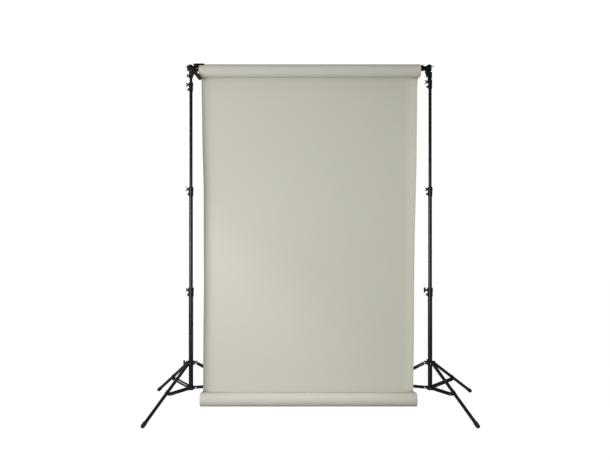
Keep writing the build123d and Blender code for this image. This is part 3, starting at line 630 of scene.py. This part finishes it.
def sheet_faces(rows, width):
    """Front and back skins, then the side edges, then the bottom and top edges."""
    back = rows * width
    faces = []
    for row in range(rows - 1):
        for column in range(width - 1):
            low = row * width + column
            high = low + width
            faces.append((low, low + 1, high + 1, high))
            faces.append((back + low, back + high, back + high + 1, back + low + 1))
    for row in range(rows - 1):
        low, high = row * width, (row + 1) * width
        faces.append((low, high, back + high, back + low))
        low, high = low + width - 1, high + width - 1
        faces.append((low, back + low, back + high, high))
    for column in range(width - 1):
        faces.append((column, back + column, back + column + 1, column + 1))
        top = (rows - 1) * width + column
        faces.append((top, top + 1, back + top + 1, back + top))
    return faces


def build_sheet():
    """The sheet, with edges curled forward and slow buckles that die out at both rolls."""
    heights = np.concatenate([
        np.arange(CURL_BOTTOM, 134, 3.0), np.arange(138, 2010, 23.0),
        np.arange(2012, CURL_TOP, 4.0), [CURL_TOP],
    ]) * MM
    flat = np.linspace(-1, 1, 38)[1:-1]
    roll_low, roll_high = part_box("bottom_roll")
    front, back = [], []
    for z, left, right in zip(heights, curl_angle(heights, 1), curl_angle(heights, 2)):
        # the sides run from the lower roll's ends to the sheet's full width at the top
        rise = (z - sheet_low.z) / SHEET_DROP
        x_left = roll_low.x + (sheet_low.x - roll_low.x) * rise
        x_right = roll_high.x + (sheet_high.x - roll_high.x) * rise
        centre, inner = (x_left + x_right) / 2, (x_right - x_left) / 2 - CURL_ZONE
        line = curled_side(-1, inner, left)[::-1]
        line += [(x * inner, 0.0, 0.0) for x in flat]
        line += curled_side(1, inner, right)
        fade = math.sin(math.pi * rise) ** 0.6 if 0 < rise < 1 else 0.0
        for offset, forward, angle in line:
            x = centre + offset
            wave = sum(
                math.sin(per_x * x + per_z * z + phase) * height
                for per_x, per_z, phase, height in BUCKLES
            ) * MM
            y = SHEET_Y + forward - (wave + SHEET_FORWARD) * fade
            step_x = -math.sin(angle) * SHEET_HALF_THICKNESS
            step_y = -math.cos(angle) * SHEET_HALF_THICKNESS
            front.append((x + step_x, y + step_y, z))
            back.append((x - step_x, y - step_y, z))
    faces = sheet_faces(len(heights), len(line))
    return make_object("hung_paper_sheet", front + back, faces, [M_PAPER])


sheet = build_sheet()
sharpen(sheet, 50)
attach(sheet, "paper_sheet", replaces=True)
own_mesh(sheet)

# ------------------------------------------------------------------ the wound rolls
TURN_STEPS = 96
CORE_GAP = 0.02 * MM
GROOVE = 0.55 * MM  # depth of the spiral groove in the cut ends


def wound_roll(name, node, core, pitch, corner, seed, sag):
    """Paper wound in a spiral from angle 0, the rear. The cut ends show its turns, and the
    last turn ends in a step. corner rounds the ends' rims, sag is the depth of the dents."""
    low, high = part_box(node)
    core_low, core_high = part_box(core)
    axis_y, axis_z = (low.y + high.y) / 2, (low.z + high.z) / 2
    outer = (high.z - low.z) / 2
    inner = (core_high.z - core_low.z) / 2 + CORE_GAP
    turns = max(2, round((outer - inner) / pitch))
    pitch = (outer - inner) / turns
    total = TURN_STEPS * turns
    phase = np.random.default_rng(seed).uniform(-1, 1, 8) * 3
    verts, faces = [], []

    def spiral(i):
        return inner + pitch * i / TURN_STEPS, 2 * math.pi * i / TURN_STEPS

    def end_inset(radius, angle, sign):
        """Rounded rim."""
        k = max(0.0, (radius - (outer - corner)) / corner)
        return corner * (1 - math.sqrt(max(0.0, 1 - k * k))) * 0.75

    def drift(radius, angle, sign):
        """Uneven edges of the turns."""
        k = (radius - inner) / (outer - inner)
        return (
            0.35 * math.sin(angle * 0.5 + phase[0] + sign)
            + 0.25 * math.sin(angle * 1.7 + phase[1])
            + 0.5 * math.sin(k * 9 + phase[2] + sign * 2)
        ) * MM * 0.6 + 0.6 * MM

    def dent(x, t, angle, fade):
        """Soft dents over the last turn, and a dip close to both ends."""
        soft = (
            math.sin(4.1 * x + angle * 2 + phase[3])
            + math.sin(9.7 * x - angle * 3 + phase[4]) * 0.6
            + math.sin(2.3 * x + phase[5] + angle)
        )
        end_dip = 0.5 * MM * math.exp(-min(t, 1 - t) * 60) * fade
        return sag * (0.5 + 0.5 * soft / 2.6) * fade + end_dip

    def add_point(x, radius, angle):
        y = axis_y + radius * math.cos(angle)
        verts.append((x, y, axis_z + radius * math.sin(angle)))
        return len(verts) - 1

    # cut ends: a valley at each turn's start, a ridge halfway to the next
    ends = {}
    for sign, x_end in ((-1, low.x), (1, high.x)):
        valley, ridge = [], []
        for i in range(total + 1):
            radius, angle = spiral(i)
            shift = end_inset(radius, angle, sign) + drift(radius, angle, sign) + GROOVE
            valley.append(add_point(x_end - sign * shift, radius, angle))
            crest = min(radius + pitch * 0.5, outer)
            # the ridge drifts with the valley beside it
            shift = end_inset(crest, angle, sign) + drift(radius, angle, sign)
            ridge.append(add_point(x_end - sign * shift, crest, angle))
        for i in range(total - TURN_STEPS):
            near, near_next = valley[i], valley[i + 1]
            top, top_next = ridge[i], ridge[i + 1]
            far, far_next = valley[i + TURN_STEPS], valley[i + 1 + TURN_STEPS]
            if sign < 0:
                faces.append((near, near_next, top_next, top))
                faces.append((top, top_next, far_next, far))
            else:
                faces.append((near, top, top_next, near_next))
                faces.append((top, far, far_next, top_next))
        ends[sign] = valley

    # outside, over the last turn
    first = total - TURN_STEPS
    grid = []
    for i in range(first, total + 1):
        radius, angle = spiral(i)
        k = (i - first) / TURN_STEPS
        fade = math.sin(math.pi * k) ** 0.5 if 0 < k < 1 else 0.0
        left, right = ends[-1][i], ends[1][i]
        x_left, x_right = verts[left][0], verts[right][0]
        row = [left]
        for t in np.linspace(0, 1, 47)[1:-1]:
            x = x_left + (x_right - x_left) * t
            row.append(add_point(x, radius - dent(x, t, angle, fade), angle))
        grid.append(row + [right])
    for row, after in zip(grid[:-1], grid[1:]):
        for j in range(len(row) - 1):
            faces.append((row[j], row[j + 1], after[j + 1], after[j]))

    # bore, over the first turn
    left, right = ends[-1], ends[1]
    for i in range(TURN_STEPS):
        faces.append((left[i], left[i + 1], right[i + 1], right[i]))
    # the steps where the last turn ends and where the first begins
    row, after = grid[0], grid[-1]
    for j in range(len(row) - 1):
        faces.append((row[j], after[j], after[j + 1], row[j + 1]))
    faces.append((left[0], right[0], right[TURN_STEPS], left[TURN_STEPS]))

    obj = make_object(name, verts, faces, [M_PAPER, M_PAPER_END], weld=False)
    polygons = obj.data.polygons
    polygons.foreach_set("material_index", [int(abs(p.normal.x) > 0.5) for p in polygons])
    sharpen(obj, 28)
    attach(obj, node, replaces=True)


wound_roll("wound_upper_roll", "paper_roll", "roll_core",
           pitch=0.80 * MM, corner=1.6 * MM, seed=11, sag=0.25 * MM)
wound_roll("wound_lower_roll", "bottom_roll", "bottom_core",
           pitch=1.0 * MM, corner=5.5 * MM, seed=23, sag=0.7 * MM)

# ------------------------------------------------------------------ rivet heads
RIVET_SUNK = 0.0006
HEAD_HEIGHT = 1.5 * MM
BRACE_REACH = 0.49  # the brace's outer rivet, as a share of the leg's length
BRACE_DROP = 17.0 * MM  # of that rivet below the leg's axis
BRACE_SEAT = 16.35 * MM
BRACE_HEAD = (4.7 * MM, 1.4 * MM)  # radius, height


def dome(centre, axis, radius, height):
    """A low domed rivet head that stands on centre and faces along axis."""
    profile = [
        (-RIVET_SUNK, 0.0), (-RIVET_SUNK, radius * 0.96), (0.00005, radius * 0.99),
        (height * 0.3, radius * 0.93), (height * 0.62, radius * 0.74),
    ]
    for k in (0.56, 0.38, 0.2):
        profile.append((height * (1 - 0.5 * k * k * 1.6), radius * k))
    profile.append((height, 0.0))
    return revolve(profile, centre, axis, segments=28)


def rivet_heads(name, node, places, seat, radius, height):
    """A head on both sides of each (centre, across) place, as one object."""
    verts, faces = [], []
    for centre, across in places:
        for sign in (1, -1):
            head, head_faces = dome(centre + across * sign * seat, across * sign, radius, height)
            faces += [tuple(i + len(verts) for i in face) for face in head_faces]
            verts += head
    attach(make_object(name, verts, faces, [M_RIVET]), node)


for side in SIDES:
    for part, label, hinge, _, seat, radius in RIVETED:
        places = [(leg[hinge], leg["across"]) for leg in legs_of(side)]
        rivet_heads(f"{side}_{label}_rivet_heads", f"{side}_{part}", places,
                    seat, radius, HEAD_HEIGHT)

# outer ends of the braces
UP = Vector((0, 0, 1))
for name, leg in LEGS.items():
    down = (-UP + UP.dot(leg["along"]) * leg["along"]).normalized()
    tip = leg["pin"] + leg["along"] * (BRACE_REACH * leg["length"]) + down * BRACE_DROP
    rivet_heads(f"{name}_brace_rivet_heads", f"{name}_brace", [(tip, leg["across"])],
                BRACE_SEAT, *BRACE_HEAD)

# ------------------------------------------------------------------ ribbed boots on the leg ends
# all in mm; (distance back from the foot end, radius)
BOOT_START = ((28.4, 10.06), (28.4, 11.5), (27.9, 12.0))
BOOT_FINISH = ((9.6, 12.1), (9.0, 11.5), (9.0, 10.06))
# one rib and the groove after it: (distance along, radius)
RIB = ((0.0, 12.1), (0.9, 12.35), (2.2, 12.35), (3.0, 12.1), (3.3, 11.7), (3.9, 11.7))
RIB_COUNT = 4
FIRST_RIB = 26.4  # back from the foot end
RIB_PITCH = 4.2

for name, leg in LEGS.items():
    length = leg["length"]
    profile = [(length - back * MM, radius * MM) for back, radius in BOOT_START]
    for i in range(RIB_COUNT):
        start = length - (FIRST_RIB - i * RIB_PITCH) * MM
        profile += [(start + along * MM, radius * MM) for along, radius in RIB]
    profile += [(length - back * MM, radius * MM) for back, radius in BOOT_FINISH]
    verts, faces = revolve(profile, leg["pin"], leg["along"], segments=56)
    ribs = make_object(f"{name}_foot_ribs", verts, faces, [M_RUBBER])
    sharpen(ribs, 40)
    attach(ribs, f"{name}_leg")

# ------------------------------------------------------------------ lights
# name, place, point it faces, width, height, watts
LIGHTS = (
    ("key_front", (-1.3, -3.3, 1.05), (-0.1, 0, 0.95), 1.1, 1.2, 65),
    ("key_left", (-2.3, -2.3, 1.15), (-0.1, 0, 1.0), 1.1, 1.7, 22),
    ("fill_right", (2.5, -2.2, 0.9), (0.1, 0, 0.9), 1.3, 1.7, 6),
    ("front_low", (0.2, -3.6, 0.55), (0, 0, 0.8), 1.6, 0.8, 5),
    ("rim_left", (-2.4, 1.3, 1.4), (-0.7, 0, 1.1), 0.8, 2.2, 14),
    ("rim_right", (2.4, 1.3, 1.4), (0.7, 0, 1.1), 0.8, 2.2, 2.5),
    ("strip_over_lower_roll", (-0.12, -0.34, 1.55), (-0.04, -0.1, 0.06), 1.3, 0.12, 0.45),
)

for name, place, target, width, height, watts in LIGHTS:
    light = bpy.data.lights.new(name, "AREA")
    light.shape = "RECTANGLE"
    light.size, light.size_y = width, height
    light.energy = watts
    lamp = bpy.data.objects.new(name, light)
    SCENE.collection.objects.link(lamp)
    lamp.location = place
    lamp.rotation_euler = (Vector(target) - Vector(place)).to_track_quat("-Z", "Y").to_euler()
# the last one, the strip, is a narrow beam that the camera doesn't see
light.spread = math.radians(32)
lamp.visible_camera = False


# ------------------------------------------------------------------ world
def build_world():
    """White to the camera, dimmer as fill light, and nearly black in reflections."""
    world = bpy.data.worlds.new("studio")
    SCENE.world = world
    world.use_nodes = True
    nodes, links = world.node_tree.nodes, world.node_tree.links
    nodes.clear()

    def background(strength):
        node = nodes.new("ShaderNodeBackground")
        node.inputs["Color"].default_value = (1, 1, 1, 1)
        node.inputs["Strength"].default_value = strength
        return node.outputs[0]

    def link_mix(node, factor, first, second):
        for socket, source in zip(node.inputs, (factor, first, second)):
            links.new(source, socket)

    output = nodes.new("ShaderNodeOutputWorld")
    camera_mix = nodes.new("ShaderNodeMixShader")
    rays = nodes.new("ShaderNodeLightPath").outputs
    seen = background(strength=1.02)
    fill = background(strength=0.42)
    reflected = background(strength=0.03)
    glossy_mix = nodes.new("ShaderNodeMixShader")
    link_mix(glossy_mix, rays["Is Glossy Ray"], fill, reflected)
    link_mix(camera_mix, rays["Is Camera Ray"], glossy_mix.outputs[0], seen)
    links.new(camera_mix.outputs[0], output.inputs[0])


build_world()


# ------------------------------------------------------------------ floor
def make_floor_material():
    """Nearly white with a trace of shadow to the camera, a quiet grey to all other rays."""
    material = bpy.data.materials.new("pale_floor")
    material.use_nodes = True
    nodes, links = material.node_tree.nodes, material.node_tree.links
    nodes.clear()
    output = nodes.new("ShaderNodeOutputMaterial")
    rays = nodes.new("ShaderNodeLightPath")
    glow = nodes.new("ShaderNodeEmission")
    glow.inputs["Strength"].default_value = 0.93
    mix = nodes.new("ShaderNodeMixShader")
    seen = nodes.new("ShaderNodeAddShader")
    trace = nodes.new("ShaderNodeBsdfDiffuse")
    trace.inputs["Color"].default_value = (0.16, 0.16, 0.16, 1)
    grey = nodes.new("ShaderNodeBsdfDiffuse")
    cloud = nodes.new("ShaderNodeTexNoise")
    cloud.inputs["Scale"].default_value = 3.0
    tone = nodes.new("ShaderNodeMapRange")
    tone.inputs["To Min"].default_value = 0.30
    tone.inputs["To Max"].default_value = 0.35
    links.new(cloud.outputs["Fac"], tone.inputs["Value"])
    links.new(tone.outputs[0], grey.inputs["Color"])
    links.new(glow.outputs[0], seen.inputs[0])
    links.new(trace.outputs[0], seen.inputs[1])
    links.new(rays.outputs["Is Camera Ray"], mix.inputs[0])
    links.new(grey.outputs[0], mix.inputs[1])
    links.new(seen.outputs[0], mix.inputs[2])
    links.new(mix.outputs[0], output.inputs[0])
    return material


def build_floor():
    """A wide square grid just below z = 0."""
    cells, half, level = 24, 14.0, -0.0004
    line = [-half + 2 * half * i / cells for i in range(cells + 1)]
    verts = [(x, y, level) for y in line for x in line]
    faces = []
    for j in range(cells):
        for i in range(cells):
            near = j * (cells + 1) + i
            far = near + cells + 1
            faces.append((near, near + 1, far + 1, far))
    return make_object("studio_floor", verts, faces, [make_floor_material()], smooth=False)


build_floor()

# ------------------------------------------------------------------ view and camera
CAMERA_DISTANCE = 4.1076  # in front of the columns
CAMERA_HEIGHT = 1.0417

SCENE.view_settings.view_transform = "Standard"
SCENE.view_settings.look = "None"
SCENE.view_settings.exposure = 0.0
SCENE.view_settings.gamma = 1.0

camera = bpy.data.cameras.new("camera")
camera.sensor_fit = "HORIZONTAL"
camera.sensor_width = 36.0
camera.lens = 38.7147541
camera.shift_x = -0.0081147541
camera.shift_y = 0.0163934426
camera.clip_start, camera.clip_end = 0.05, 100.0
viewer = bpy.data.objects.new("camera", camera)
SCENE.collection.objects.link(viewer)
between = (COLUMNS["left"] + COLUMNS["right"]) / 2
viewer.location = (middle("paper_roll").x, between.y - CAMERA_DISTANCE, CAMERA_HEIGHT)
viewer.rotation_euler = (math.pi / 2, 0, 0)
SCENE.camera = viewer
